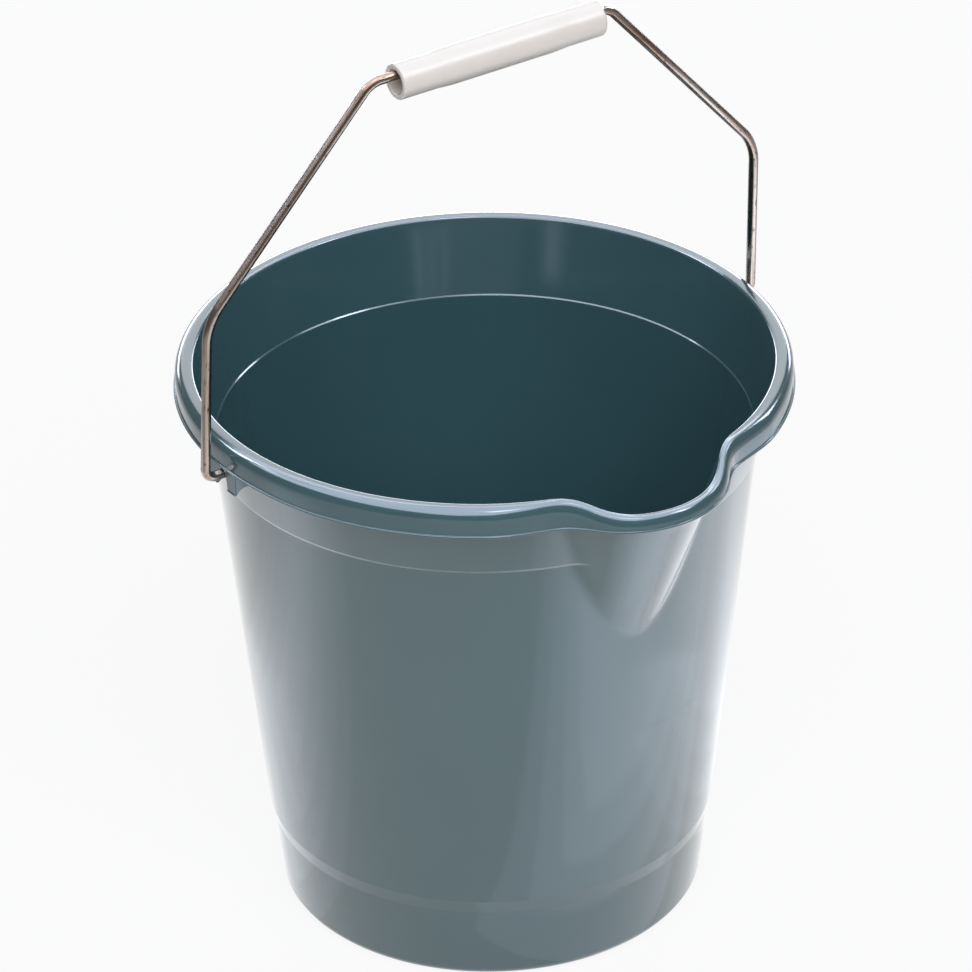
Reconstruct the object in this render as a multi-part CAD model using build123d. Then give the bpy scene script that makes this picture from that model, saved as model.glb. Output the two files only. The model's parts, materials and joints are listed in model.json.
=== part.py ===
from build123d import *
from math import cos, radians, sin
import os

# A moulded household bucket of about 10 litres, in millimetres, with +Z up.
# The origin is the middle of the foot on the floor. The ears lie on the X axis and the spout points to -Y.

# Heights of the moulding, from the floor or down from the rim's top
RIM_TOP = 275.6
SKIRT_DEPTH = 12.1
FLANGE_HEIGHT = 0.9
STEP_DROP = 40.6
FOOT_STEP_Z = 38.0
BASE_RECESS = 2.2
FLOOR_THICKNESS = 2.8

# Radii of the moulding, each outer one from the rim or the foot
RIM_R = 142.0
RIM_WIDTH = 9.8
STEP_IN = 16.8
FOOT_R = 98.8
FOOT_FLARE = 4.1
FOOT_RING_WIDTH = 12.0

# Walls, steps and roundings of the moulding
WALL = 2.4
RIM_PLATE = 2.6
SKIRT_WALL = 2.0
FLANGE_LIP = 0.9
STEP_OUT = 1.7
STEP_RISE = 3.4
FOOT_STEP_OUT = 1.7
FOOT_STEP_RISE = 7.0
FOOT_STEP_ROUND = 6.0
FOOT_CORNER = 5.0
FOOT_RING_ROUND = 0.5
MOUTH_ROUND = 2.2
SHOULDER_ROUND = 2.6

# The spout is a slanted cone that leaves the wall at its foot and opens upwards
SPOUT_OUT = 15.9
SPOUT_LIP = 6.1
SPOUT_DIP = 6.6
SPOUT_DROP = 89.1
SPOUT_FOOT_RADIUS = 26.0
SPOUT_SPREAD = 0.207
SPOUT_FOOT_ROOT = 4.0
SPOUT_RIM_ROOT = 12.0
SPOUT_TIP_RADIUS = 48.0
SPOUT_FLANK = 50.0
SPOUT_WAIST = 21.0
SPOUT_WAIST_IN = 2.6
SPOUT_JOIN = 33.0

# The two ears under the skirt: each a block with a slot from below, for the wire's hook, and a blind hole
EAR_WIDTH = 22.0
EAR_ROOT_SPREAD = 2.5
EAR_ROOT_LENGTH = 6.4
EAR_ROOT_ROUND = 3.0
EAR_IN = 0.6
EAR_DROP = 9.6
EAR_TOE = 3.2
EAR_TOE_RISE = 3.3
EAR_TOE_ROUND = 5.0
EAR_EDGE = 0.6
SLOT_DEPTH = 4.4
SLOT_CLEARANCE = 0.15
SLOT_FLARE = 1.4
PIVOT_DROP = 2.9
PIN_DEPTH = 5.1
PIN_END_GAP = 0.5
PIN_CLEARANCE = 0.06

# The tube grip, which hangs on the wire and has slid towards +X
GRIP_LENGTH = 108.6
GRIP_END_DIAMETER = 16.6
GRIP_SWELL = 1.0
GRIP_WALL = 2.4
GRIP_END_LENGTH = 19.5
GRIP_TAPER = 8.0
GRIP_TAPER_ROUND = 12.0
GRIP_EDGE = 1.0
GRIP_BORE_EDGE = 0.4
GRIP_SHIFT = 3.5
GRIP_HANG_GAP = 0.3

# The wire bail
WIRE = 4.5
ARM_GAP = 5.95
ARM_LEAN_IN = 1.6
ARM_RISE = 80.4
RUN_SPARE = 18.4
RUN_RISE = 176.2
HOOK_BEND = 5.0
ARM_BEND = 25.0
RUN_BEND = 10.5
BAIL_LEAN = 2.9

# Levels, radii and slopes that follow from the sizes above
SKIRT_Z = RIM_TOP - SKIRT_DEPTH
PLATE_Z = RIM_TOP - RIM_PLATE
FLOOR_Z = BASE_RECESS + FLOOR_THICKNESS
PIVOT_Z = SKIRT_Z - PIVOT_DROP
MOUTH_R = RIM_R - RIM_WIDTH
STEP_R = RIM_R - STEP_IN
STEP_Z = RIM_TOP - STEP_DROP
LEDGE_R = STEP_R + STEP_OUT
LEDGE_Z = STEP_Z + STEP_RISE
FOOT_STEP_R = FOOT_R + FOOT_FLARE
LOWER_WALL_R = FOOT_STEP_R + FOOT_STEP_OUT
LOWER_WALL_Z = FOOT_STEP_Z + FOOT_STEP_RISE
FOOT_SLOPE = FOOT_FLARE / FOOT_STEP_Z
WALL_SLOPE = (STEP_R - LOWER_WALL_R) / (STEP_Z - LOWER_WALL_Z)
MOUTH_SLOPE = (MOUTH_R + WALL - LEDGE_R) / (PLATE_Z - LEDGE_Z)
SPOUT_REACH = RIM_R + SPOUT_OUT
SPOUT_THROAT = SPOUT_REACH - SPOUT_LIP
SPOUT_FOOT_Z = RIM_TOP - SPOUT_DROP
SPOUT_FOOT_REACH = STEP_R + WALL_SLOPE * (SPOUT_FOOT_Z - STEP_Z)
SPOUT_LEAN = (SPOUT_THROAT - SPOUT_FOOT_REACH) / (SKIRT_Z - SPOUT_FOOT_Z)
EAR_OUT = RIM_R - EAR_IN
EAR_LOW = SKIRT_Z - EAR_DROP
SLOT_X = EAR_OUT - SLOT_DEPTH
PIN_X = SLOT_X - PIN_DEPTH
ARM_X = RIM_R + ARM_GAP + WIRE / 2
RUN_X = (GRIP_LENGTH + RUN_SPARE) / 2
GRIP_BORE = GRIP_END_DIAMETER - 2 * GRIP_WALL

# The wall's top ends inside the rim's plate, under the mouth's rounding
WALL_TOP_DROP = (RIM_PLATE + MOUTH_ROUND) / 2

# How far a cut runs past its surface, and how proud of the wall the spout begins
OVERSHOOT = 20.0
SPOUT_START = 0.02

# The most of the spout's narrow lip that each of its two roundings may take
SHOULDER_SHARE = 0.5
MOUTH_SHARE = 0.45

# Levels of the lofted wall up to the step, and how close two points count as the same
WALL_SLICES = 6
SAME_POINT = 0.01


def turned(corners):
    """A solid of revolution about Z from corners of radius, height and rounding."""
    points = [(radius, height) for radius, height, rounding in corners]
    rounds = [rounding for radius, height, rounding in corners]
    outline = Plane.XZ * FilletPolyline(*points, radius=rounds, close=True)
    return revolve(make_face(outline), Axis.Z)


def outer_foot():
    """The outside of the moulding below the spout, filled in."""
    ring = FOOT_R - FOOT_RING_WIDTH
    return turned([
        (0, BASE_RECESS, 0),
        (ring, BASE_RECESS, FOOT_RING_ROUND),
        (ring + BASE_RECESS, 0, FOOT_RING_ROUND),
        (FOOT_R, 0, FOOT_CORNER),
        (FOOT_STEP_R, FOOT_STEP_Z, FOOT_STEP_ROUND),
        (LOWER_WALL_R, LOWER_WALL_Z, FOOT_STEP_ROUND),
        (SPOUT_FOOT_REACH, SPOUT_FOOT_Z, 0),
        (0, SPOUT_FOOT_Z, 0),
    ])


def inner_foot():
    """The inside of the moulding below the spout, filled in."""
    return turned([
        (0, FLOOR_Z, 0),
        (FOOT_R + FOOT_SLOPE * FLOOR_Z - WALL, FLOOR_Z, FOOT_CORNER),
        (FOOT_STEP_R - WALL, FOOT_STEP_Z, FOOT_STEP_ROUND),
        (LOWER_WALL_R - WALL, LOWER_WALL_Z, FOOT_STEP_ROUND),
        (SPOUT_FOOT_REACH - WALL, SPOUT_FOOT_Z, 0),
        (0, SPOUT_FOOT_Z, 0),
    ])


def flipped(point):
    """The same point on the other side of the spout's plane."""
    return Vector(-point.X, point.Y, point.Z)


def wall_slice(z, wall, inset):
    """A level slice of the wall and the spout, drawn in by an inset: two circles joined by tangent arcs."""
    rise = z - SPOUT_FOOT_Z
    spout = SPOUT_FOOT_RADIUS + SPOUT_SPREAD * rise
    centre = Vector(0, spout - SPOUT_FOOT_REACH - SPOUT_START - SPOUT_LEAN * rise)
    root = SPOUT_FOOT_ROOT + (SPOUT_RIM_ROOT - SPOUT_FOOT_ROOT) * rise / (RIM_TOP - SPOUT_FOOT_Z)
    wall -= inset
    spout -= inset
    root += inset
    root_y = ((wall + root) ** 2 - (spout + root) ** 2 + centre.Y ** 2) / (2 * centre.Y)
    root_centre = Vector(((wall + root) ** 2 - root_y ** 2) ** 0.5, root_y)
    on_wall = root_centre * (wall / (wall + root))
    on_spout = centre + (root_centre - centre) * (spout / (spout + root))
    inward = ((on_wall + on_spout) * 0.5 - root_centre).normalized()
    on_root = root_centre + inward * root
    return Pos(0, 0, z) * make_face([
        ThreePointArc(on_wall, on_root, on_spout),
        ThreePointArc(on_spout, centre - Vector(0, spout), flipped(on_spout)),
        ThreePointArc(flipped(on_spout), flipped(on_root), flipped(on_wall)),
        ThreePointArc(flipped(on_wall), (0, wall), on_wall),
    ])


def upper_wall(inset, top):
    """The wall from the spout's foot up to a level, with the step under the rim, filled in."""
    slices = []
    for count in range(WALL_SLICES + 1):
        rise = (STEP_Z - SPOUT_FOOT_Z) * (count / WALL_SLICES) ** 2
        slices.append(wall_slice(SPOUT_FOOT_Z + rise, SPOUT_FOOT_REACH + WALL_SLOPE * rise, inset))
    slices.append(wall_slice(LEDGE_Z, LEDGE_R, inset))
    slices.append(wall_slice(top, LEDGE_R + MOUTH_SLOPE * (top - LEDGE_Z), inset))
    return loft(slices, ruled=True)


def polar(radius, angle):
    """A level point or direction by its angle from the spout's direction."""
    return Vector(radius * sin(radians(angle)), -radius * cos(radians(angle)))


def rim_outline(inset, spout_inset):
    """The rim from above: a circle, drawn in at a waist on either side of the spout's round tip."""
    centre = Vector(0, SPOUT_TIP_RADIUS - SPOUT_REACH)
    tip_radius = SPOUT_TIP_RADIUS - spout_inset
    flank = centre + polar(tip_radius, SPOUT_FLANK)
    waist = polar(RIM_R - SPOUT_WAIST_IN - inset, SPOUT_WAIST)
    join = polar(RIM_R - inset, SPOUT_JOIN)
    ends = [polar(1, SPOUT_FLANK + 90), polar(1, SPOUT_JOIN + 90)]
    blend = Spline(flank, waist, join, tangents=ends)
    return Pos(0, 0, SKIRT_Z) * make_face([
        ThreePointArc(flank, centre + polar(tip_radius, 0), flipped(flank)),
        blend,
        ThreePointArc(join, polar(RIM_R - inset, 180), flipped(join)),
        mirror(blend, Plane.YZ),
    ])


def above_rim(drop):
    """The space over the rim's upper face, lowered by a drop. The face dips towards the spout's tip."""
    top = RIM_TOP - drop
    high = RIM_TOP + OVERSHOOT
    far = RIM_R + OVERSHOOT
    near = -SPOUT_REACH - OVERSHOOT
    start = Vector(-STEP_R, top)
    end = Vector(-SPOUT_THROAT, top - SPOUT_DIP)
    dip = Spline(start, end, tangents=[(-1, 0), (-1, 0)])
    rest = Polyline(end, (near, end.Y), (near, high), (far, high), (far, top), start)
    return extrude(Plane.YZ * make_face([dip, rest]), far, both=True)


def rim_edges(solid):
    """The curved edges of the rim that stay clear of the skirt's lower edge."""
    level = SKIRT_Z + FLANGE_HEIGHT
    return [e for e in solid.edges() if e.geom_type != GeomType.LINE and e.bounding_box().min.Z > level]


def rim(cavity):
    """The rolled rim: a rounded top with a skirt hanging from it, hollow below except at the spout."""
    block = extrude(rim_outline(FLANGE_LIP, FLANGE_LIP), SKIRT_DEPTH) - above_rim(0)
    lip = SPOUT_LIP - FLANGE_LIP
    block = fillet(rim_edges(block), min(SHOULDER_ROUND, SHOULDER_SHARE * lip))
    known = [edge @ 0.5 for edge in block.edges()]
    ring = block - cavity
    mouth = [e for e in rim_edges(ring) if min((e @ 0.5 - point).length for point in known) > SAME_POINT]
    ring = fillet(mouth, min(MOUTH_ROUND, MOUTH_SHARE * lip))
    spout_bead = SPOUT_LIP + WALL / 2
    hollow = extrude(rim_outline(FLANGE_LIP + SKIRT_WALL, spout_bead), SKIRT_DEPTH) - above_rim(RIM_PLATE)
    flange = extrude(rim_outline(0, 0), FLANGE_HEIGHT) - cavity
    return ring + flange - hollow


def ear_under():
    """The space under the +X ear, whose outer end hangs lowest."""
    high = EAR_LOW + EAR_TOE_RISE
    toe = FilletPolyline(
        (EAR_OUT, EAR_LOW), (EAR_OUT - EAR_TOE, high), (STEP_R, high), radius=EAR_TOE_ROUND,
    )
    rest = Polyline(toe @ 1, (STEP_R, EAR_LOW), toe @ 0)
    return extrude(Plane.XZ * make_face([toe, rest]), EAR_WIDTH, both=True)


def ear_slot():
    """The slot of the +X ear: round over the wire and wider towards its open lower end."""
    half = WIRE / 2 + SLOT_CLEARANCE
    mouth = half + SLOT_FLARE
    outline = make_face([
        ThreePointArc((half, PIVOT_Z), (0, PIVOT_Z + half), (-half, PIVOT_Z)),
        Polyline((-half, PIVOT_Z), (-mouth, EAR_LOW), (mouth, EAR_LOW), (half, PIVOT_Z)),
    ])
    return Pos(SLOT_X, 0, 0) * extrude(Plane.YZ * outline, SLOT_DEPTH)


def ear_block(out, low, high):
    """A block that stands out to a distance on the +X side, with a flared root, filled through the wall."""
    half = EAR_WIDTH / 2
    root = half + EAR_ROOT_SPREAD
    root_x = EAR_OUT - EAR_ROOT_LENGTH
    plan = FilletPolyline(
        (STEP_R, -root), (root_x - EAR_ROOT_SPREAD, -root), (root_x, -half), (out, -half),
        (out, half), (root_x, half), (root_x - EAR_ROOT_SPREAD, root), (STEP_R, root),
        radius=[0, EAR_ROOT_ROUND, EAR_EDGE, EAR_EDGE, EAR_ROOT_ROUND, 0],
    )
    return extrude(Pos(0, 0, low) * make_face([plan, Line(plan @ 1, plan @ 0)]), high - low)


def ear():
    """One ear on the +X side: a block flush with the skirt's lip, which goes on up inside the rim."""
    lip = SKIRT_Z + FLANGE_HEIGHT / 2
    inside_skirt = RIM_R - FLANGE_LIP - SKIRT_WALL / 2
    block = ear_block(EAR_OUT, EAR_LOW, lip) + ear_block(inside_skirt, lip, PLATE_Z + RIM_PLATE / 2)
    return block - ear_under() - ear_slot()


def pin_hole():
    """The blind hole of the +X ear, behind its slot."""
    depth = PIN_DEPTH + PIN_END_GAP + SLOT_DEPTH
    axis = Plane(origin=(EAR_OUT, 0, PIVOT_Z), z_dir=(-1, 0, 0))
    return extrude(axis * Circle(WIRE / 2 + PIN_CLEARANCE), depth)


def bucket_body():
    """The whole moulding: foot, wall, spout, rim and ears in one piece of plastic."""
    cavity = inner_foot() + upper_wall(WALL, RIM_TOP + OVERSHOOT)
    wall = outer_foot() + upper_wall(0, RIM_TOP) - above_rim(WALL_TOP_DROP)
    shell = wall + ear() + mirror(ear(), Plane.YZ)
    body = shell - cavity + rim(cavity)
    return body - pin_hole() - mirror(pin_hole(), Plane.YZ)


def on_bail(shape):
    """Places what is drawn about the pivot axis at the bail's resting lean."""
    return Pos(0, 0, PIVOT_Z) * Rot(BAIL_LEAN, 0, 0) * shape


def bail():
    """The bent wire: hooked ends, upright arms, slanted shoulders and a straight run for the grip."""
    right = [
        (PIN_X, 0),
        (ARM_X, 0),
        (ARM_X - ARM_LEAN_IN, ARM_RISE),
        (RUN_X, RUN_RISE),
    ]
    left = [(-x, z) for x, z in reversed(right)]
    bends = [HOOK_BEND, ARM_BEND, RUN_BEND]
    path = Plane.XZ * FilletPolyline(*right, *left, radius=bends + bends[::-1])
    end = Plane(origin=path @ 0, z_dir=path % 0)
    return on_bail(sweep(end * Circle(WIRE / 2), path=path))


def on_bail_run(shape):
    """Moves what is drawn about the X axis to the bail's straight run."""
    lean = radians(BAIL_LEAN)
    return Pos(0, -RUN_RISE * sin(lean), PIVOT_Z + RUN_RISE * cos(lean)) * shape


def grip():
    """The tube, wider along its middle, with rounded ends. It hangs from the wire by its bore."""
    half = GRIP_LENGTH / 2
    bore = GRIP_BORE / 2
    end = GRIP_END_DIAMETER / 2
    middle = end + GRIP_SWELL / 2
    neck = half - GRIP_END_LENGTH
    body = neck - GRIP_TAPER
    corners = [
        (half, bore, GRIP_BORE_EDGE),
        (half, end, GRIP_EDGE),
        (neck, end, GRIP_TAPER_ROUND),
        (body, middle, GRIP_TAPER_ROUND),
    ]
    corners += [(-x, radius, rounding) for x, radius, rounding in reversed(corners)]
    points = [(x, radius) for x, radius, rounding in corners]
    rounds = [rounding for x, radius, rounding in corners]
    tube = revolve(make_face(FilletPolyline(*points, radius=rounds, close=True)), Axis.X)
    hang = (GRIP_BORE - WIRE) / 2 - GRIP_HANG_GAP
    return Pos(GRIP_SHIFT, 0, -hang) * on_bail_run(tube)


os.makedirs("parts", exist_ok=True)
for make in (bucket_body, bail, grip):
    export_step(make(), f"parts/{make.__name__}.step")
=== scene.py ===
"""A slate-grey moulded bucket with a pouring spout, a wire bail and a white tube grip."""
import json
from math import atan2, ceil, cos, hypot, pi, radians, sin, sqrt, tan

import bmesh
import bpy
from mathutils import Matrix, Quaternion, Vector


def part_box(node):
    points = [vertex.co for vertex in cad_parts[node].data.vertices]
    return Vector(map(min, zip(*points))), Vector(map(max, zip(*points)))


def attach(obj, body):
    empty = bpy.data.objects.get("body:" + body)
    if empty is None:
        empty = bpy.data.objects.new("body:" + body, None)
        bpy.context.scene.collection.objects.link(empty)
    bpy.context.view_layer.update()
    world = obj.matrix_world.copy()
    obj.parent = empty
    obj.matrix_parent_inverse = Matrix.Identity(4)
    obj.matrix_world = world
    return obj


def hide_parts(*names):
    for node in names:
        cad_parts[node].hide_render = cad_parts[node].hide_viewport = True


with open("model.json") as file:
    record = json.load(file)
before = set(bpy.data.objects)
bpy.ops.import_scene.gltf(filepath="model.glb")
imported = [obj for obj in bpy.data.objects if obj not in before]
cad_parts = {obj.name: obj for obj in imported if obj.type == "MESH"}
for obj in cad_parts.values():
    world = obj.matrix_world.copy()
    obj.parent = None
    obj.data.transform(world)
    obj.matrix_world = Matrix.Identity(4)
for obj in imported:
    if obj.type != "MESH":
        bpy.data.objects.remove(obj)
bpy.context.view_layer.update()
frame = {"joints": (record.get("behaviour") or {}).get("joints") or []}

MM = 0.001
SAME_PLACE = 0.01 * MM

# What the frame gives: the bucket's reach, the pivot between the ears, the bail's run and the grip
body_low, body_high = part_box("bucket_body")
grip_low, grip_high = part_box("grip")
joint_places = {joint["name"]: Vector(joint["pos_m"]) for joint in frame["joints"]}
PIVOT = joint_places["bail_swing"]
RUN = joint_places["grip_spin"]
RIM_R = body_high.x
RIM_TOP = body_high.z
SPOUT_REACH = -body_low.y
GRIP_MIDDLE = (grip_low + grip_high) / 2
GRIP_LENGTH = grip_high.x - grip_low.x
GRIP_R = (grip_high.z - grip_low.z) / 2

# Rim: a flat top between two roundings, with a skirt that ends in a thin lip
RIM_WIDTH = 9.8 * MM
RIM_PLATE = 2.6 * MM
SKIRT_DEPTH = 12.1 * MM
SKIRT_WALL = 2.0 * MM
LIP_HEIGHT = 0.9 * MM
LIP_OUT = 0.9 * MM
LIP_ROUND = 0.45 * MM
MOUTH_ROUND = 1.8 * MM
SHOULDER_ROUND = 5.0 * MM
EDGE_ROUND = 0.3 * MM
HOLLOW_ROUND = 0.8 * MM

# Wall, with a step under the rim
WALL = 2.4 * MM
STEP_DROP = 40.6 * MM
STEP_IN = 16.8 * MM
STEP_OUT = 1.2 * MM
STEP_RISE = 1.1 * MM
STEP_ROUND = 1.0 * MM
LEDGE_ROUND = 2.0 * MM
INNER_STEP_DROP = 37.6 * MM
INNER_STEP_OUT = 0.6 * MM
INNER_STEP_RISE = 0.6 * MM
INNER_STEP_ROUND = 0.25 * MM

# Foot, with a step over it and a base that is raised inside its ring
FOOT_R = 98.8 * MM
FOOT_FLARE = 4.1 * MM
FOOT_STEP_Z = 38.0 * MM
FOOT_STEP_OUT = 1.7 * MM
FOOT_STEP_RISE = 7.0 * MM
FOOT_STEP_ROUND = 6.0 * MM
FOOT_CORNER = 5.0 * MM
FOOT_RING_WIDTH = 12.0 * MM
FOOT_RING_ROUND = 0.5 * MM
BASE_RECESS = 2.2 * MM
FLOOR_THICKNESS = 2.8 * MM

# Spout: a slanted cone that leaves the wall at its foot, under a rim that narrows and dips
SPOUT_LIP = 6.1 * MM
SPOUT_DIP = 6.6 * MM
SPOUT_DROP = 89.1 * MM
SPOUT_FOOT_RADIUS = 26.0 * MM
SPOUT_SPREAD = 0.207
SPOUT_FOOT_ROOT = 10.0 * MM
SPOUT_RIM_ROOT = 24.0 * MM
MOUTH_ROOT = 6.0 * MM
SPOUT_TIP_RADIUS = 48.0 * MM
SPOUT_FLANK = radians(50)
SPOUT_WAIST = radians(21)
SPOUT_WAIST_IN = 2.6 * MM
SPOUT_JOIN = radians(33)

# On the spout's side, from the ears on, the skirt's lower edge hangs a little lower
SKIRT_SAG = 1.1 * MM
SAG_START = radians(83)
SAG_END = radians(65)

# Ears: blocks under the lip, each with a hanging toe, a slot from below and a blind hole for the wire's hook
EAR_WIDTH = 22.0 * MM
EAR_ROOT_SPREAD = 2.5 * MM
EAR_ROOT_LENGTH = 6.4 * MM
EAR_ROOT_ROUND = 3.0 * MM
EAR_IN = 0.6 * MM
EAR_DROP = 9.6 * MM
EAR_TOE = 3.2 * MM
EAR_TOE_RISE = 3.3 * MM
EAR_TOE_ROUND = 5.0 * MM
EAR_EDGE = 0.45 * MM
SLOT_DEPTH = 4.4 * MM
SLOT_CLEARANCE = 0.15 * MM
SLOT_FLARE = 1.4 * MM
PIN_DEPTH = 5.1 * MM
PIN_END_GAP = 0.5 * MM
PIN_CLEARANCE = 0.06 * MM

# Bail: one wire in a leaning plane, with hooks, arms, shoulders and a straight run
WIRE = 4.5 * MM
ARM_GAP = 5.95 * MM
ARM_LEAN_IN = 1.6 * MM
ARM_RISE = 80.4 * MM
RUN_SPARE = 18.4 * MM
HOOK_BEND = 5.0 * MM
ARM_BEND = 25.0 * MM
RUN_BEND = 10.5 * MM
WIRE_END_EDGE = 0.5 * MM

# Grip: a tube, thicker along its middle
GRIP_SWELL = 1.0 * MM
GRIP_WALL = 2.4 * MM
GRIP_END_LENGTH = 19.5 * MM
GRIP_TAPER = 8.0 * MM
GRIP_TAPER_ROUND = 12.0 * MM
GRIP_EDGE = 1.0 * MM
GRIP_BORE_EDGE = 0.4 * MM

# Meshes: the body's rings crowd towards the spout, where they also lie closer
BODY_STEPS = 320
SPOUT_CROWDING = 0.6
RING_SPACING = 9.0 * MM
SPOUT_RING_SPACING = 3.0 * MM
GRIP_STEPS = 96
GRIP_RING_SPACING = 8.0 * MM
ARC_STEP = radians(15)
LEAST_ARC_CUTS = 2
SLOPE_STEP = 0.001
EAR_EDGE_CUTS = 3
PIN_HOLE_SIDES = 48
WIRE_ARC_STEP = radians(4)
WIRE_SMOOTHNESS = 10
WIRE_RING_SPACING = 2.5 * MM
WIRE_END_CUTS = 2
CUT_MARGIN = 2.0 * MM
SHARP_ANGLE = radians(40)

# Levels and radii that follow
SKIRT_Z = RIM_TOP - SKIRT_DEPTH
PLATE_Z = RIM_TOP - RIM_PLATE
FLOOR_Z = BASE_RECESS + FLOOR_THICKNESS
MOUTH_R = RIM_R - RIM_WIDTH
SKIRT_R = RIM_R - LIP_OUT
STEP_R = RIM_R - STEP_IN
STEP_Z = RIM_TOP - STEP_DROP
LEDGE_R = STEP_R + STEP_OUT
LEDGE_Z = STEP_Z + STEP_RISE
INNER_STEP_Z = RIM_TOP - INNER_STEP_DROP
FOOT_STEP_R = FOOT_R + FOOT_FLARE
LOWER_WALL_R = FOOT_STEP_R + FOOT_STEP_OUT
LOWER_WALL_Z = FOOT_STEP_Z + FOOT_STEP_RISE
WALL_SLOPE = (STEP_R - LOWER_WALL_R) / (STEP_Z - LOWER_WALL_Z)
MOUTH_SLOPE = (MOUTH_R + WALL - LEDGE_R) / (PLATE_Z - LEDGE_Z)
SPOUT_THROAT = SPOUT_REACH - SPOUT_LIP
SPOUT_FOOT_Z = RIM_TOP - SPOUT_DROP
SPOUT_FOOT_REACH = STEP_R + WALL_SLOPE * (SPOUT_FOOT_Z - STEP_Z)
SPOUT_LEAN = (SPOUT_THROAT - SPOUT_FOOT_REACH) / (SKIRT_Z - SPOUT_FOOT_Z)
EAR_OUT = RIM_R - EAR_IN
EAR_LOW = SKIRT_Z - EAR_DROP
SLOT_X = EAR_OUT - SLOT_DEPTH
PIN_X = SLOT_X - PIN_DEPTH
ARM_X = RIM_R + ARM_GAP + WIRE / 2
RUN_X = (GRIP_LENGTH + RUN_SPARE) / 2
RUN_RISE = (RUN - PIVOT).length

# Finishes: colours, ranges of roughness, the size of each pattern, and the depth of the waves that make a
# reflection waver. The wire's brown streaks are partly draw streaks and partly painted reflection, a dark
# core along the wire; they and the pits are drawn coarser than real ones, so that they show.
PLASTIC_COLOURS = ("#3A595F", "#405F66")
PLASTIC_ROUGHNESS = (0.07, 0.13)
PLASTIC_IOR = 1.5
PLASTIC_COAT_ROUGHNESS = 0.16
PLASTIC_CLOUD = 45.0 * MM
PLASTIC_GLOSS_PATCH = 14.0 * MM
PLASTIC_WAVE = 38.0 * MM
PLASTIC_WAVE_DEPTH = 0.15 * MM
# The brown wire colour is partly the wire's own tint and partly painted reflection, a dark core along the
# wire.
WIRE_COLOURS = ("#CBBFB4", "#79614F")
WIRE_PIT_COLOUR = "#2E2520"
WIRE_ROUGHNESS = (0.16, 0.32)
WIRE_STREAK_AND_PAINTED_REFLECTION_RANGE = (0.38, 0.64)
WIRE_PIT_RANGE = (0.62, 0.70)
WIRE_STREAK_AND_PAINTED_REFLECTION_WIDTH = 2.6 * MM
WIRE_STREAK_AND_PAINTED_REFLECTION_LENGTH = 60.0 * MM
WIRE_PIT_WIDTH = 0.9 * MM
WIRE_PIT_LENGTH = 3.2 * MM
WIRE_PIT_DEPTH = 0.03 * MM
GRIP_COLOURS = ("#E4DBD1", "#EDE5DC")
GRIP_ROUGHNESS = (0.28, 0.40)
GRIP_IOR = 1.51
GRIP_CLOUD = 20.0 * MM
GRIP_WAVE = 26.0 * MM
GRIP_WAVE_DEPTH = 0.2 * MM

# A mix node's sockets for colours, by number
MIX_SHARE = 0
MIX_FIRST = 6
MIX_SECOND = 7
MIX_RESULT = 2

# Camera: a long lens, turned a little about its own axis
CAMERA_AZIMUTH = -33.67
CAMERA_ELEVATION = 30.6
CAMERA_ROLL = -0.87
CAMERA_DISTANCE = 3.0057
CAMERA_TARGET = Vector((0, 0, 0.20566))
CAMERA_LENS = 241.35

# Stage: a large white floor, which the camera sees as mostly evenly white, so that its shadows are faint.
# Gloss shows that white near the bucket, and plain lit paper farther out.
FLOOR_SIZE = 60.0
FLOOR_COLOUR = "#E6E6E6"
FLOOR_GLOW = 0.9
GLOSS_NEAR = 0.42
GLOSS_FAR = 0.58
WORLD_STRENGTH = 0.2

# Soft boxes, which light the bucket, and cards, which only show in its gloss: where each stands, as a turn
# from the camera's side, a distance and a height, what it faces, as a distance at the same turn and
# a height, then its size and how bright its face is, where 1 is white
SOFT_BOX_COLOUR = "#F6F9FF"
SOFT_BOXES = [
    ("front_high", (10, 1.50, 1.90), (0, 0.20), (2.0, 2.0), 3.5),
    ("back_wall", (180, 1.60, 1.00), (0, 0.50), (1.8, 1.4), 1.8),
]
CARD_COLOUR = "#E0EBFF"
CARDS = [
    ("front_card", (20, 0.55, 1.90), (0, 0.27), (0.35, 0.25), 12.0),
    ("left_card", (-114, 1.45, 1.55), (0, 0.27), (0.35, 0.60), 12.0),
    ("right_card", (75, 1.40, 1.65), (0, 0.27), (0.35, 0.60), 12.0),
    ("right_back_card", (125, 1.65, 1.20), (0, 0.27), (0.35, 0.60), 12.0),
    ("back_strip", (180, 1.90, 0.40), (0, 0.27), (3.0, 0.45), 6.0),
    ("ceiling", (180, 0, 1.90), (0, 0), (3.4, 3.4), 4.8),
]

# Cards that lie face up on the floor, each a stack that fades towards its edges: a turn, a distance, a size
# and a level
FLOOR_CARDS = [
    ("right_floor_card", 69, 0.445, (0.68, 0.53), 1.15),
    ("far_right_floor_card", 101, 0.395, (0.53, 0.46), 0.45),
    ("left_floor_card", -76, 0.372, (0.56, 0.25), 0.50),
]
FLOOR_CARD_RISE = 0.002
FLOOR_CARD_LAYERS = 4
FLOOR_CARD_FADE = 0.06
FACING_UP = 1.0


def select(piece, kind, test):
    """Selects, in edit mode, just the verts, edges or faces that pass a test. Says how many there are."""
    bpy.ops.mesh.select_mode(type={"verts": "VERT", "edges": "EDGE", "faces": "FACE"}[kind])
    bpy.ops.mesh.select_all(action="DESELECT")
    mesh = bmesh.from_edit_mesh(piece.data)
    found = [part for part in getattr(mesh, kind) if test(part)]
    for part in found:
        part.select_set(True)
    bmesh.update_edit_mesh(piece.data)
    return len(found)


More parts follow.
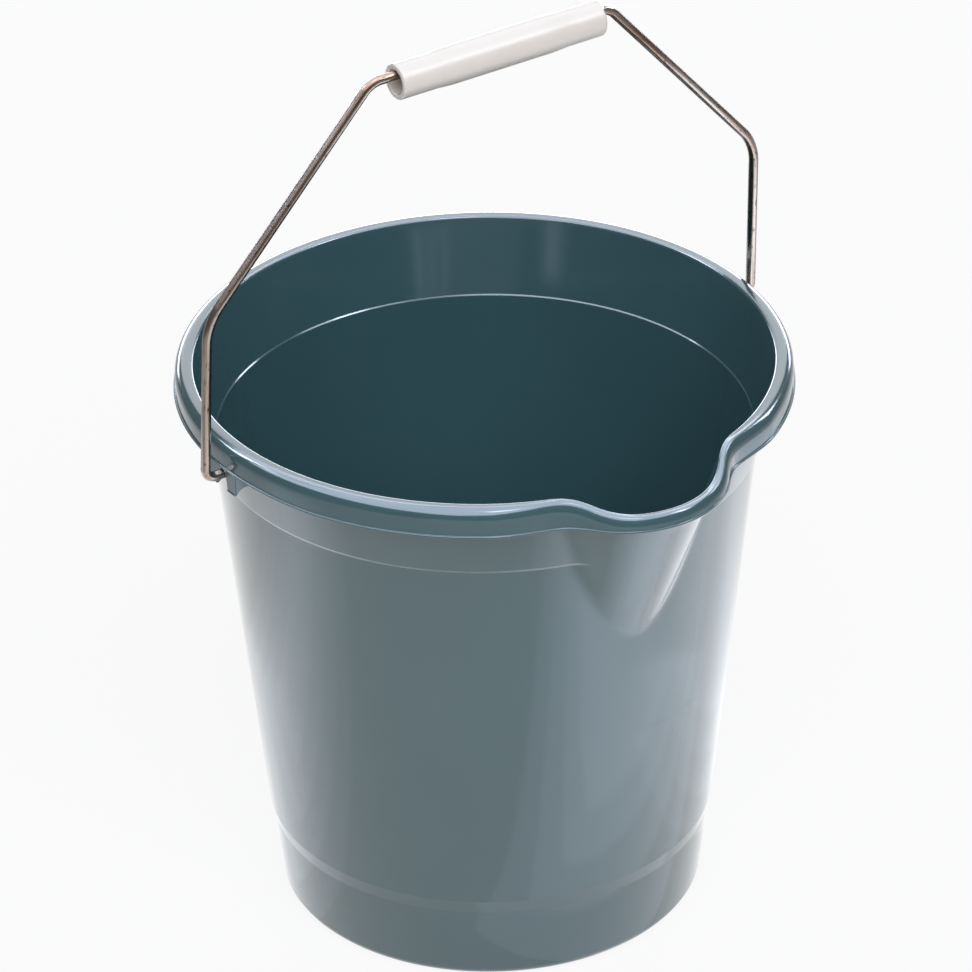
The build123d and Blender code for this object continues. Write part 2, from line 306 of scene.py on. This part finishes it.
def draw_line(name, points):
    """Begins a piece as one open line of vertices, and stays in edit mode."""
    bpy.ops.object.select_all(action="DESELECT")
    bpy.ops.mesh.primitive_plane_add(size=MM)
    piece = bpy.context.object
    piece.name = name
    bpy.ops.object.mode_set(mode="EDIT")
    bpy.ops.mesh.select_mode(type="VERT")
    bpy.ops.mesh.select_all(action="SELECT")
    bpy.ops.mesh.merge(type="CENTER")
    bpy.ops.transform.translate(value=points[0])
    for before, after in zip(points, points[1:]):
        bpy.ops.mesh.extrude_region_move(TRANSFORM_OT_translate={"value": after - before})
    return piece


def round_corners(piece, points, radii, arc_step=ARC_STEP):
    """Rounds the line's corners, each by its own radius."""
    for before, corner, after, radius in zip(points, points[1:], points[2:], radii[1:]):
        if radius == 0:
            continue
        turn = (corner - before).angle(after - corner)
        select(piece, "verts", lambda vert: (vert.co - corner).length < SAME_PLACE)
        bpy.ops.mesh.bevel(
            offset_type="OFFSET", offset=radius * tan(turn / 2), affect="VERTICES", clamp_overlap=False,
            segments=max(LEAST_ARC_CUTS, ceil(turn / arc_step)),
        )


def turn_line(piece, points, radii, too_long, steps, centre, axis):
    """Rounds a line, cuts its long stretches and spins it into a closed solid."""
    round_corners(piece, points, radii)
    while select(piece, "edges", too_long):
        bpy.ops.mesh.subdivide(number_cuts=1)
    bpy.ops.mesh.select_mode(type="VERT")
    bpy.ops.mesh.select_all(action="SELECT")
    bpy.ops.mesh.spin(steps=steps, angle=2 * pi, center=centre, axis=axis, use_auto_merge=True)
    bpy.ops.mesh.select_all(action="SELECT")
    bpy.ops.mesh.remove_doubles(threshold=SAME_PLACE)
    bpy.ops.mesh.normals_make_consistent(inside=False)
    bpy.ops.object.mode_set(mode="OBJECT")


def prism(name, points, radii, depth):
    """A solid of one outline, with its corners rounded, drawn out along a depth. Stays in edit mode."""
    piece = draw_line(name, points)
    round_corners(piece, points, radii)
    bpy.ops.mesh.select_all(action="SELECT")
    bpy.ops.mesh.edge_face_add()
    bpy.ops.mesh.extrude_region_move(TRANSFORM_OT_translate={"value": depth})
    bpy.ops.mesh.select_all(action="SELECT")
    bpy.ops.mesh.normals_make_consistent(inside=False)
    return piece


def combine(piece, other, operation):
    """Joins another solid to a piece, or cuts it out, and deletes it."""
    bpy.ops.object.select_all(action="DESELECT")
    bpy.context.view_layer.objects.active = piece
    bpy.ops.object.modifier_add(type="BOOLEAN")
    piece.modifiers[-1].operation = operation
    piece.modifiers[-1].solver = "EXACT"
    piece.modifiers[-1].object = other
    bpy.ops.object.modifier_apply(modifier=piece.modifiers[-1].name)
    bpy.data.objects.remove(other)


def smooth(share):
    """A soft step from 0 to 1."""
    share = min(max(share, 0), 1)
    return share * share * (3 - 2 * share)


def far_side(angle, centre_y, radius):
    """Where a level ray from the bucket's axis leaves a circle that lies on the spout's line."""
    along = -cos(angle) * centre_y
    return along + sqrt(along ** 2 - centre_y ** 2 + radius ** 2)


def wall_radius(angle, wall, z, inset):
    """The wall's radius at an angle from the spout's line: two circles joined by a tangent arc."""
    rise = z - SPOUT_FOOT_Z
    if rise <= 0:
        return wall
    spout = SPOUT_FOOT_RADIUS + SPOUT_SPREAD * rise - inset
    centre_y = spout + inset - SPOUT_FOOT_REACH - SPOUT_LEAN * rise
    root = SPOUT_FOOT_ROOT + (SPOUT_RIM_ROOT - SPOUT_FOOT_ROOT) * rise / SPOUT_DROP + inset
    root += MOUTH_ROOT * smooth((z - LEDGE_Z) / (RIM_TOP - LEDGE_Z)) * inset / WALL
    root_y = ((wall + root) ** 2 - (spout + root) ** 2 + centre_y ** 2) / (2 * centre_y)
    root_x = sqrt(max((wall + root) ** 2 - root_y ** 2, 0))
    share = spout / (spout + root)
    if angle >= atan2(root_x, -root_y):
        return wall
    if angle <= atan2(root_x * share, -centre_y - (root_y - centre_y) * share):
        return far_side(angle, centre_y, spout)
    along = sin(angle) * root_x - cos(angle) * root_y
    return along - sqrt(max(along ** 2 - root_x ** 2 - root_y ** 2 + root ** 2, 0))


def eased(start, end, slope, share):
    """A cubic from start, with its slope there, to a level end."""
    return start + slope * share * (1 - share) ** 2 + (end - start) * share * share * (3 - 2 * share)


def rim_radius(angle):
    """The rim's outer radius: the spout's round tip, a waist beside it, then the rim's circle."""
    centre_y = SPOUT_TIP_RADIUS - SPOUT_REACH
    flank_x = SPOUT_TIP_RADIUS * sin(SPOUT_FLANK)
    flank_y = centre_y - SPOUT_TIP_RADIUS * cos(SPOUT_FLANK)
    flank = atan2(flank_x, -flank_y)
    waist_r = RIM_R - SPOUT_WAIST_IN
    if angle <= flank:
        return far_side(angle, centre_y, SPOUT_TIP_RADIUS)
    if angle <= SPOUT_WAIST:
        width = SPOUT_WAIST - flank
        before = far_side(flank - SLOPE_STEP, centre_y, SPOUT_TIP_RADIUS)
        slope = (far_side(flank, centre_y, SPOUT_TIP_RADIUS) - before) / SLOPE_STEP
        return eased(hypot(flank_x, flank_y), waist_r, slope * width, (angle - flank) / width)
    return eased(waist_r, RIM_R, 0, min((angle - SPOUT_WAIST) / (SPOUT_JOIN - SPOUT_WAIST), 1))


def spout_radius(angle, radius, z, plain_z):
    """The new radius of a point that had a radius and a height on the plain turned body."""
    mouth = MOUTH_R + MOUTH_SLOPE * (plain_z - PLATE_Z)
    on_rim = plain_z > RIM_TOP - MOUTH_ROUND - SAME_PLACE or radius > MOUTH_R + WALL + SKIRT_WALL
    if on_rim:
        share = (radius - mouth) / (RIM_R - mouth)
        inner = wall_radius(angle, mouth, z, WALL)
        return inner + share * (rim_radius(angle) - inner)
    plain_wall = STEP_R + WALL_SLOPE * (plain_z - STEP_Z) if plain_z < STEP_Z else mouth + WALL
    inset = WALL if radius < plain_wall - WALL / 2 else 0
    return wall_radius(angle, radius, z, inset)


def with_spout(point):
    """The place of a point of the plain turned body once the spout is pulled out of it."""
    radius = hypot(point.x, point.y)
    if point.z < SPOUT_FOOT_Z or radius < SPOUT_FOOT_RADIUS:
        return point
    angle = atan2(abs(point.x), -point.y)
    dip_from = SKIRT_Z + LIP_HEIGHT if radius > MOUTH_R + WALL + SKIRT_WALL else LEDGE_Z
    dip_share = min(max((point.z - dip_from) / (RIM_TOP - SHOULDER_ROUND - dip_from), 0), 1)
    reach = spout_radius(angle, radius, point.z, point.z) * cos(angle)
    z = point.z - dip_share * SPOUT_DIP * smooth((reach - STEP_R) / (SPOUT_THROAT - STEP_R))
    if radius > MOUTH_R + WALL + SKIRT_WALL:
        sag = SKIRT_SAG * smooth((SAG_START - angle) / (SAG_START - SAG_END))
        z -= sag * (RIM_TOP - point.z) / SKIRT_DEPTH
    radius = spout_radius(angle, radius, z, point.z)
    side = 1 if point.x > 0 else -1
    return Vector((side * radius * sin(angle), -radius * cos(angle), z))


def crowded(point):
    """Turns a point about the axis towards the spout, so that more rings' corners lie there."""
    angle = atan2(point.x, -point.y)
    angle -= SPOUT_CROWDING * sin(angle)
    radius = hypot(point.x, point.y)
    return Vector((radius * sin(angle), -radius * cos(angle), point.z))


def long_on_bucket(edge):
    """Whether a stretch of the bucket's profile needs another cut. It is finer beside the spout."""
    by_spout = max(vert.co.z for vert in edge.verts) > SPOUT_FOOT_Z
    return edge.calc_length() > (SPOUT_RING_SPACING if by_spout else RING_SPACING)


def long_on_wire(edge):
    """Whether a stretch of the wire's line needs another cut, so that its UV map follows its length."""
    return edge.calc_length() > WIRE_RING_SPACING


def long_on_grip(edge):
    """Whether a stretch of the grip's profile needs another cut."""
    return edge.calc_length() > GRIP_RING_SPACING


def bucket_shell():
    """The moulding without its ears: a turned profile from under the base, over the rim, to the floor."""
    ring = FOOT_R - FOOT_RING_WIDTH
    inner_foot = FOOT_R + FOOT_FLARE * FLOOR_Z / FOOT_STEP_Z - WALL
    inner_step = STEP_R - WALL + WALL_SLOPE * (INNER_STEP_Z - STEP_Z)
    profile = [
        (0, BASE_RECESS, 0),
        (ring, BASE_RECESS, FOOT_RING_ROUND),
        (ring + BASE_RECESS, 0, FOOT_RING_ROUND),
        (FOOT_R, 0, FOOT_CORNER),
        (FOOT_STEP_R, FOOT_STEP_Z, FOOT_STEP_ROUND),
        (LOWER_WALL_R, LOWER_WALL_Z, FOOT_STEP_ROUND),
        (STEP_R, STEP_Z, STEP_ROUND),
        (LEDGE_R, LEDGE_Z, LEDGE_ROUND),
        (MOUTH_R + WALL, PLATE_Z, HOLLOW_ROUND),
        (SKIRT_R - SKIRT_WALL, PLATE_Z, HOLLOW_ROUND),
        (SKIRT_R - SKIRT_WALL, SKIRT_Z, EDGE_ROUND),
        (RIM_R, SKIRT_Z, EDGE_ROUND),
        (RIM_R, SKIRT_Z + LIP_HEIGHT, LIP_ROUND),
        (SKIRT_R, SKIRT_Z + LIP_HEIGHT, EDGE_ROUND),
        (SKIRT_R, RIM_TOP, SHOULDER_ROUND),
        (MOUTH_R + MOUTH_SLOPE * RIM_PLATE, RIM_TOP, MOUTH_ROUND),
        (inner_step + INNER_STEP_OUT, INNER_STEP_Z + INNER_STEP_RISE, INNER_STEP_ROUND),
        (inner_step, INNER_STEP_Z, INNER_STEP_ROUND),
        (LOWER_WALL_R - WALL, LOWER_WALL_Z, FOOT_STEP_ROUND),
        (FOOT_STEP_R - WALL, FOOT_STEP_Z, FOOT_STEP_ROUND),
        (inner_foot, FLOOR_Z, FOOT_CORNER),
        (0, FLOOR_Z, 0),
    ]
    points = [Vector((0, -radius, z)) for radius, z, rounding in profile]
    shell = draw_line("bucket", points)
    radii = [rounding for radius, z, rounding in profile]
    turn_line(shell, points, radii, long_on_bucket, BODY_STEPS, (0, 0, 0), (0, 0, 1))
    for vert in shell.data.vertices:
        vert.co = with_spout(crowded(vert.co))
    return shell


def ear():
    """The +X ear: a block with a flared root that ends inside the wall, a toe and a slot."""
    half = EAR_WIDTH / 2
    root = half + EAR_ROOT_SPREAD
    root_x = EAR_OUT - EAR_ROOT_LENGTH
    plan = [
        (STEP_R, -root, 0),
        (root_x - EAR_ROOT_SPREAD, -root, 0),
        (root_x, -half, EAR_ROOT_ROUND),
        (EAR_OUT, -half, 0),
        (EAR_OUT, half, 0),
        (root_x, half, EAR_ROOT_ROUND),
        (root_x - EAR_ROOT_SPREAD, root, 0),
        (STEP_R, root, 0),
    ]
    points = [Vector((x, y, EAR_LOW)) for x, y, rounding in plan]
    height = SKIRT_Z + LIP_HEIGHT / 2 - EAR_LOW
    block = prism("ear", points, [rounding for x, y, rounding in plan], Vector((0, 0, height)))
    in_wall = Vector((MOUTH_R + WALL / 2, 0, PLATE_Z))
    bpy.ops.mesh.bisect(plane_co=in_wall, plane_no=(1, 0, -MOUTH_SLOPE), clear_inner=True, use_fill=True)
    bpy.ops.object.mode_set(mode="OBJECT")
    combine(block, space_under_ear(), "DIFFERENCE")
    combine(block, ear_slot(), "DIFFERENCE")
    bpy.context.view_layer.objects.active = block
    bpy.ops.object.mode_set(mode="EDIT")
    outer = EAR_OUT - SAME_PLACE
    select(block, "edges", lambda edge: all(vert.co.x > outer for vert in edge.verts))
    bpy.ops.mesh.bevel(offset=EAR_EDGE, segments=EAR_EDGE_CUTS, affect="EDGES")
    bpy.ops.object.mode_set(mode="OBJECT")
    return block


def pin_hole(side):
    """What is cut from an ear, and from the wall behind it, for the wire's end."""
    bpy.ops.object.select_all(action="DESELECT")
    bpy.ops.mesh.primitive_cylinder_add(
        radius=WIRE / 2 + PIN_CLEARANCE, depth=2 * (PIN_DEPTH + PIN_END_GAP), vertices=PIN_HOLE_SIDES,
        location=(side * SLOT_X, 0, PIVOT.z), rotation=(0, pi / 2, 0),
    )
    return bpy.context.object


def space_under_ear():
    """What is cut from under the ear, so that its outer end hangs lowest."""
    high = EAR_LOW + EAR_TOE_RISE
    low = EAR_LOW - EAR_TOE_RISE
    outline = [
        (EAR_OUT + EAR_TOE, low, 0),
        (EAR_OUT - EAR_TOE, high, EAR_TOE_ROUND),
        (STEP_R - CUT_MARGIN, high, 0),
        (STEP_R - CUT_MARGIN, low, 0),
    ]
    points = [Vector((x, -EAR_WIDTH, z)) for x, z, rounding in outline]
    depth = Vector((0, 2 * EAR_WIDTH, 0))
    space = prism("under_ear", points, [rounding for x, z, rounding in outline], depth)
    bpy.ops.object.mode_set(mode="OBJECT")
    return space


def ear_slot():
    """What is cut from the ear for the wire: round over the wire and wider towards the open lower end."""
    half = WIRE / 2 + SLOT_CLEARANCE
    low = EAR_LOW - CUT_MARGIN
    mouth = half + SLOT_FLARE * (PIVOT.z - low) / (PIVOT.z - EAR_LOW)
    crown = half - SAME_PLACE
    outline = [
        (mouth, low, 0), (half, PIVOT.z, 0), (half, PIVOT.z + half, crown),
        (-half, PIVOT.z + half, crown), (-half, PIVOT.z, 0), (-mouth, low, 0),
    ]
    points = [Vector((SLOT_X, y, z)) for y, z, rounding in outline]
    depth = Vector((SLOT_DEPTH + CUT_MARGIN, 0, 0))
    slot = prism("ear_slot", points, [rounding for y, z, rounding in outline], depth)
    bpy.ops.object.mode_set(mode="OBJECT")
    return slot


def mirrored(piece):
    """A copy on the -X side, with its own mesh."""
    bpy.ops.object.select_all(action="DESELECT")
    piece.select_set(True)
    bpy.context.view_layer.objects.active = piece
    bpy.ops.object.duplicate()
    bpy.ops.transform.mirror(constraint_axis=(True, False, False), center_override=(0, 0, 0))
    bpy.ops.object.transform_apply(location=True, rotation=True, scale=True)
    copy = bpy.context.object
    bpy.ops.object.mode_set(mode="EDIT")
    bpy.ops.mesh.select_all(action="SELECT")
    bpy.ops.mesh.normals_make_consistent(inside=False)
    bpy.ops.object.mode_set(mode="OBJECT")
    return copy


def bail_wire():
    """The bail: pins in the ears, hooks, arms that lean in, shoulders and the run, with cut ends."""
    right = [
        (PIN_X, 0, 0),
        (ARM_X, 0, HOOK_BEND),
        (ARM_X - ARM_LEAN_IN, ARM_RISE, ARM_BEND),
        (RUN_X, RUN_RISE, RUN_BEND),
    ]
    path = right + [(-x, rise, bend) for x, rise, bend in reversed(right)]
    points = [PIVOT + Vector((x, 0, 0)) + (RUN - PIVOT) * (rise / RUN_RISE) for x, rise, bend in path]
    wire = draw_line("bail_wire", points)
    round_corners(wire, points, [bend for x, rise, bend in path], WIRE_ARC_STEP)
    while select(wire, "edges", long_on_wire):
        bpy.ops.mesh.subdivide(number_cuts=1)
    bpy.ops.object.mode_set(mode="OBJECT")
    bpy.ops.object.convert(target="CURVE")
    wire = bpy.context.object
    wire.data.bevel_depth = WIRE / 2
    wire.data.bevel_resolution = WIRE_SMOOTHNESS
    wire.data.use_fill_caps = True
    bpy.ops.object.convert(target="MESH")
    wire = bpy.context.object
    bpy.ops.object.mode_set(mode="EDIT")
    bpy.ops.mesh.select_all(action="SELECT")
    bpy.ops.mesh.remove_doubles(threshold=SAME_PLACE)
    bpy.ops.mesh.normals_make_consistent(inside=False)
    select(wire, "edges", lambda edge: any(len(face.verts) > 4 for face in edge.link_faces))
    bpy.ops.mesh.bevel(offset=WIRE_END_EDGE, segments=WIRE_END_CUTS, affect="EDGES")
    bpy.ops.object.mode_set(mode="OBJECT")
    return wire


def grip_tube():
    """The grip: a tube with rounded ends, spun about its own axis from a line that begins in its bore."""
    half = GRIP_LENGTH / 2
    end = GRIP_R - GRIP_SWELL / 2
    bore = end - GRIP_WALL
    neck = half - GRIP_END_LENGTH
    right = [
        (half, bore, GRIP_BORE_EDGE),
        (half, end, GRIP_EDGE),
        (neck, end, GRIP_TAPER_ROUND),
        (neck - GRIP_TAPER, GRIP_R, GRIP_TAPER_ROUND),
    ]
    left = [(-x, radius, rounding) for x, radius, rounding in reversed(right)]
    profile = [(0, bore, 0)] + right + left + [(0, bore, 0)]
    points = [GRIP_MIDDLE + Vector((x, 0, radius)) for x, radius, rounding in profile]
    tube = draw_line("grip_tube", points)
    radii = [rounding for x, radius, rounding in profile]
    turn_line(tube, points, radii, long_on_grip, GRIP_STEPS, GRIP_MIDDLE, (1, 0, 0))
    return tube


def linear(colour):
    """An sRGB hex colour as linear RGBA."""
    parts = [int(colour[at:at + 2], 16) / 255 for at in (1, 3, 5)]
    return [part / 12.92 if part <= 0.04045 else ((part + 0.055) / 1.055) ** 2.4 for part in parts] + [1.0]


def add_node(tree, kind, inputs, **settings):
    """Adds a node with its settings. An input, by name or number, is a constant or another node's output."""
    node = tree.nodes.new(kind)
    for name, value in settings.items():
        setattr(node, name, value)
    for name, value in inputs.items():
        if isinstance(value, bpy.types.NodeSocket):
            tree.links.new(value, node.inputs[name])
        else:
            node.inputs[name].default_value = value
    return node


def new_material(name):
    """An empty node material and its tree."""
    material = bpy.data.materials.new(name)
    material.use_nodes = True
    tree = material.node_tree
    tree.nodes.clear()
    return material, tree


def bucket_plastic():
    """Injection-moulded polypropylene: an even slate colour, faintly cloudy, under a wavering gloss."""
    material, tree = new_material("moulded_polypropylene")
    place = add_node(tree, "ShaderNodeTexCoord", {}).outputs["Object"]
    cloud = add_node(tree, "ShaderNodeTexNoise", {"Vector": place, "Scale": 1 / PLASTIC_CLOUD, "Detail": 3.0})
    dark, light = [linear(colour) for colour in PLASTIC_COLOURS]
    colour = add_node(
        tree, "ShaderNodeMix", {MIX_SHARE: cloud.outputs["Fac"], MIX_FIRST: dark, MIX_SECOND: light},
        data_type="RGBA",
    )
    gloss = add_node(
        tree, "ShaderNodeTexNoise", {"Vector": place, "Scale": 1 / PLASTIC_GLOSS_PATCH, "Detail": 4.0},
    )
    least, most = PLASTIC_ROUGHNESS
    roughness = add_node(
        tree, "ShaderNodeMapRange", {"Value": gloss.outputs["Fac"], "To Min": least, "To Max": most},
    )
    wave = add_node(tree, "ShaderNodeTexNoise", {"Vector": place, "Scale": 1 / PLASTIC_WAVE, "Detail": 1.0})
    bump = add_node(tree, "ShaderNodeBump", {"Height": wave.outputs["Fac"], "Distance": PLASTIC_WAVE_DEPTH})
    shader = add_node(tree, "ShaderNodeBsdfPrincipled", {
        "Base Color": colour.outputs[MIX_RESULT], "Roughness": roughness.outputs["Result"],
        "IOR": PLASTIC_IOR, "Coat Weight": 1.0, "Coat Roughness": PLASTIC_COAT_ROUGHNESS,
        "Normal": bump.outputs["Normal"],
    })
    add_node(tree, "ShaderNodeOutputMaterial", {"Surface": shader.outputs["BSDF"]})
    return material


def wire_steel():
    """Drawn and plated steel wire: bright and warm, with small dark pits, and brown streaks along it that are
    partly draw streaks and partly painted reflection, the dark core that a reflection would give.
    """
    material, tree = new_material("plated_steel_wire")
    along = add_node(tree, "ShaderNodeUVMap", {}, uv_map="UVMap").outputs["UV"]
    length = 2 * (ARM_RISE + RUN_RISE)
    girth = pi * WIRE
    streak_and_painted_reflection_size = (length / WIRE_STREAK_AND_PAINTED_REFLECTION_LENGTH, girth / WIRE_STREAK_AND_PAINTED_REFLECTION_WIDTH, 1)
    pit_size = (length / WIRE_PIT_LENGTH, girth / WIRE_PIT_WIDTH, 1)
    streak_and_painted_reflection_place = add_node(tree, "ShaderNodeMapping", {"Vector": along, "Scale": streak_and_painted_reflection_size}).outputs[0]
    pit_place = add_node(tree, "ShaderNodeMapping", {"Vector": along, "Scale": pit_size}).outputs[0]
    streaks = add_node(tree, "ShaderNodeTexNoise", {"Vector": streak_and_painted_reflection_place, "Scale": 1.0, "Detail": 3.0})
    pits = add_node(tree, "ShaderNodeTexNoise", {"Vector": pit_place, "Scale": 1.0, "Detail": 2.0})
    low, high = WIRE_STREAK_AND_PAINTED_REFLECTION_RANGE
    streaks_and_painted_reflection = add_node(
        tree, "ShaderNodeMapRange", {"Value": streaks.outputs["Fac"], "From Min": low, "From Max": high},
    )
    low, high = WIRE_PIT_RANGE
    pitted = add_node(
        tree, "ShaderNodeMapRange", {"Value": pits.outputs["Fac"], "From Min": low, "From Max": high},
    )
    # The brown streaks are partly draw streaks and partly painted reflection: a dark core painted along the
    # wire.
    bright, brown = [linear(colour) for colour in WIRE_COLOURS]
    metal = add_node(
        tree, "ShaderNodeMix", {MIX_SHARE: streaks_and_painted_reflection.outputs["Result"], MIX_FIRST: bright, MIX_SECOND: brown},
        data_type="RGBA",
    )
    pitted_metal = {
        MIX_SHARE: pitted.outputs["Result"], MIX_FIRST: metal.outputs[MIX_RESULT],
        MIX_SECOND: linear(WIRE_PIT_COLOUR),
    }
    colour = add_node(tree, "ShaderNodeMix", pitted_metal, data_type="RGBA")
    least, most = WIRE_ROUGHNESS
    roughness = add_node(
        tree, "ShaderNodeMapRange", {"Value": streaks_and_painted_reflection.outputs["Result"], "To Min": least, "To Max": most},
    )
    bump = add_node(
        tree, "ShaderNodeBump", {"Height": pitted.outputs["Result"], "Distance": WIRE_PIT_DEPTH}, invert=True,
    )
    shader = add_node(tree, "ShaderNodeBsdfPrincipled", {
        "Base Color": colour.outputs[MIX_RESULT], "Metallic": 1.0, "Roughness": roughness.outputs["Result"],
        "Normal": bump.outputs["Normal"],
    })
    add_node(tree, "ShaderNodeOutputMaterial", {"Surface": shader.outputs["BSDF"]})
    return material


def grip_plastic():
    """Moulded polyethylene: a warm white with a satin sheen, a little uneven as such tubes are."""
    material, tree = new_material("moulded_polyethylene")
    place = add_node(tree, "ShaderNodeTexCoord", {}).outputs["Object"]
    cloud = add_node(tree, "ShaderNodeTexNoise", {"Vector": place, "Scale": 1 / GRIP_CLOUD, "Detail": 3.0})
    dark, light = [linear(colour) for colour in GRIP_COLOURS]
    colour = add_node(
        tree, "ShaderNodeMix", {MIX_SHARE: cloud.outputs["Fac"], MIX_FIRST: dark, MIX_SECOND: light},
        data_type="RGBA",
    )
    least, most = GRIP_ROUGHNESS
    roughness = add_node(
        tree, "ShaderNodeMapRange", {"Value": cloud.outputs["Fac"], "To Min": least, "To Max": most},
    )
    wave = add_node(tree, "ShaderNodeTexNoise", {"Vector": place, "Scale": 1 / GRIP_WAVE, "Detail": 1.0})
    bump = add_node(tree, "ShaderNodeBump", {"Height": wave.outputs["Fac"], "Distance": GRIP_WAVE_DEPTH})
    shader = add_node(tree, "ShaderNodeBsdfPrincipled", {
        "Base Color": colour.outputs[MIX_RESULT], "Roughness": roughness.outputs["Result"], "IOR": GRIP_IOR,
        "Normal": bump.outputs["Normal"],
    })
    add_node(tree, "ShaderNodeOutputMaterial", {"Surface": shader.outputs["BSDF"]})
    return material


def beside_camera(turn, rise):
    """The direction from the bucket to a place that is turned about it from the camera's side."""
    azimuth = radians(CAMERA_AZIMUTH + turn)
    elevation = radians(rise)
    return Vector((sin(azimuth) * cos(elevation), -cos(azimuth) * cos(elevation), sin(elevation)))


def add_camera():
    """The camera at the photograph's angle."""
    back = beside_camera(0, CAMERA_ELEVATION)
    data = bpy.data.cameras.new("camera")
    data.lens = CAMERA_LENS
    data.clip_end = FLOOR_SIZE
    camera = bpy.data.objects.new("camera", data)
    camera.rotation_mode = "QUATERNION"
    camera.location = CAMERA_TARGET + back * CAMERA_DISTANCE
    roll = Quaternion((0, 0, 1), radians(CAMERA_ROLL))
    camera.rotation_quaternion = (-back).to_track_quat("-Z", "Y") @ roll
    bpy.context.scene.collection.objects.link(camera)
    bpy.context.scene.camera = camera


def add_floor():
    """A white floor, far wider than any view."""
    bpy.ops.mesh.primitive_plane_add(size=FLOOR_SIZE)
    floor = bpy.context.object
    floor.name = "floor"
    material, tree = new_material("floor_paper")
    place = add_node(tree, "ShaderNodeTexCoord", {}).outputs["Object"]
    paper = add_node(tree, "ShaderNodeBsdfDiffuse", {"Color": linear(FLOOR_COLOUR)})
    white = add_node(tree, "ShaderNodeEmission", {"Strength": 1.0})
    path = add_node(tree, "ShaderNodeLightPath", {})
    mirrored_rays = add_node(
        tree, "ShaderNodeMath", {0: path.outputs["Is Glossy Ray"], 1: path.outputs["Is Transmission Ray"]},
        operation="MAXIMUM",
    )
    distance = add_node(tree, "ShaderNodeVectorMath", {0: place}, operation="LENGTH")
    fade = {"From Min": GLOSS_NEAR, "From Max": GLOSS_FAR, "To Min": 1.0, "To Max": 0.0}
    nearness = add_node(
        tree, "ShaderNodeMapRange", {"Value": distance.outputs["Value"], **fade},
        interpolation_type="SMOOTHSTEP",
    )
    near_rays = add_node(
        tree, "ShaderNodeMath", {0: mirrored_rays.outputs[0], 1: nearness.outputs["Result"]},
        operation="MULTIPLY",
    )
    seen_rays = add_node(
        tree, "ShaderNodeMath", {0: path.outputs["Is Camera Ray"], 1: near_rays.outputs[0]},
        operation="MAXIMUM",
    )
    share = add_node(
        tree, "ShaderNodeMath", {0: seen_rays.outputs[0], 1: FLOOR_GLOW}, operation="MULTIPLY",
    )
    seen = add_node(
        tree, "ShaderNodeMixShader", {0: share.outputs[0], 1: paper.outputs[0], 2: white.outputs[0]},
    )
    add_node(tree, "ShaderNodeOutputMaterial", {"Surface": seen.outputs[0]})
    floor.data.materials.append(material)


def add_world():
    """An even white room."""
    world = bpy.data.worlds.new("studio")
    bpy.context.scene.world = world
    world.use_nodes = True
    world.node_tree.nodes["Background"].inputs["Color"].default_value = (1, 1, 1, 1)
    world.node_tree.nodes["Background"].inputs["Strength"].default_value = WORLD_STRENGTH


def beside_bucket(turn, distance, height):
    """A place beside the bucket, turned about it from the camera's side."""
    return beside_camera(turn, 0) * distance + Vector((0, 0, height))


def add_lamp(name, stand, facing, size, level, colour):
    """A flat lamp that the camera doesn't see."""
    data = bpy.data.lights.new(name, "AREA")
    data.shape = "RECTANGLE"
    data.size, data.size_y = size
    data.energy = level * pi * data.size * data.size_y
    data.color = linear(colour)[:3]
    lamp = bpy.data.objects.new(name, data)
    lamp.visible_camera = False
    lamp.location = beside_bucket(*stand)
    lamp.rotation_mode = "QUATERNION"
    lamp.rotation_quaternion = (beside_bucket(stand[0], *facing) - lamp.location).to_track_quat("-Z", "Y")
    bpy.context.scene.collection.objects.link(lamp)
    return lamp


def add_floor_card(name, turn, distance, size, level):
    """A stack of cards that lie on the floor, face up, each smaller than the one before."""
    for layer in range(FLOOR_CARD_LAYERS):
        less = layer * FLOOR_CARD_FADE
        card = add_lamp(
            f"{name}_{layer}", (turn, distance, (layer + 1) * FLOOR_CARD_RISE), (distance, FACING_UP),
            (size[0] - less, size[1] - less), level / FLOOR_CARD_LAYERS, CARD_COLOUR,
        )
        card.visible_diffuse = False


def finish_mesh(piece):
    """Merges points that cuts left almost in one place, and smooths the shading of round faces."""
    bpy.ops.object.select_all(action="DESELECT")
    piece.select_set(True)
    bpy.context.view_layer.objects.active = piece
    bpy.ops.object.mode_set(mode="EDIT")
    bpy.ops.mesh.select_mode(type="VERT")
    bpy.ops.mesh.select_all(action="SELECT")
    bpy.ops.mesh.remove_doubles(threshold=SAME_PLACE)
    bpy.ops.object.mode_set(mode="OBJECT")
    bpy.ops.object.shade_smooth_by_angle(angle=SHARP_ANGLE)
    bpy.ops.object.modifier_add(type="WEIGHTED_NORMAL")
    piece.modifiers[-1].keep_sharp = True
    bpy.ops.object.modifier_apply(modifier=piece.modifiers[-1].name)


def place_piece(piece, material, body, node):
    """Gives a finished piece its finish, and its place in the frame."""
    finish_mesh(piece)
    piece.data.materials.clear()
    piece.data.materials.append(material)
    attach(piece, body)
    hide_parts(node)


bucket = bucket_shell()
first_ear = ear()
for one_ear in (mirrored(first_ear), first_ear):
    combine(bucket, one_ear, "UNION")
for side in (-1, 1):
    combine(bucket, pin_hole(side), "DIFFERENCE")
place_piece(bucket, bucket_plastic(), "bucket", "bucket_body")
place_piece(bail_wire(), wire_steel(), "bail", "bail")
place_piece(grip_tube(), grip_plastic(), "grip", "grip")
add_floor()
add_world()
for soft_box in SOFT_BOXES:
    add_lamp(*soft_box, SOFT_BOX_COLOUR)
for card in CARDS:
    add_lamp(*card, CARD_COLOUR).visible_diffuse = False
for floor_card in FLOOR_CARDS:
    add_floor_card(*floor_card)

# The front soft box only lights, because its image in the gloss would cover the cards'
bpy.data.objects["front_high"].visible_glossy = False
add_camera()
bpy.context.scene.view_settings.view_transform = "Standard"
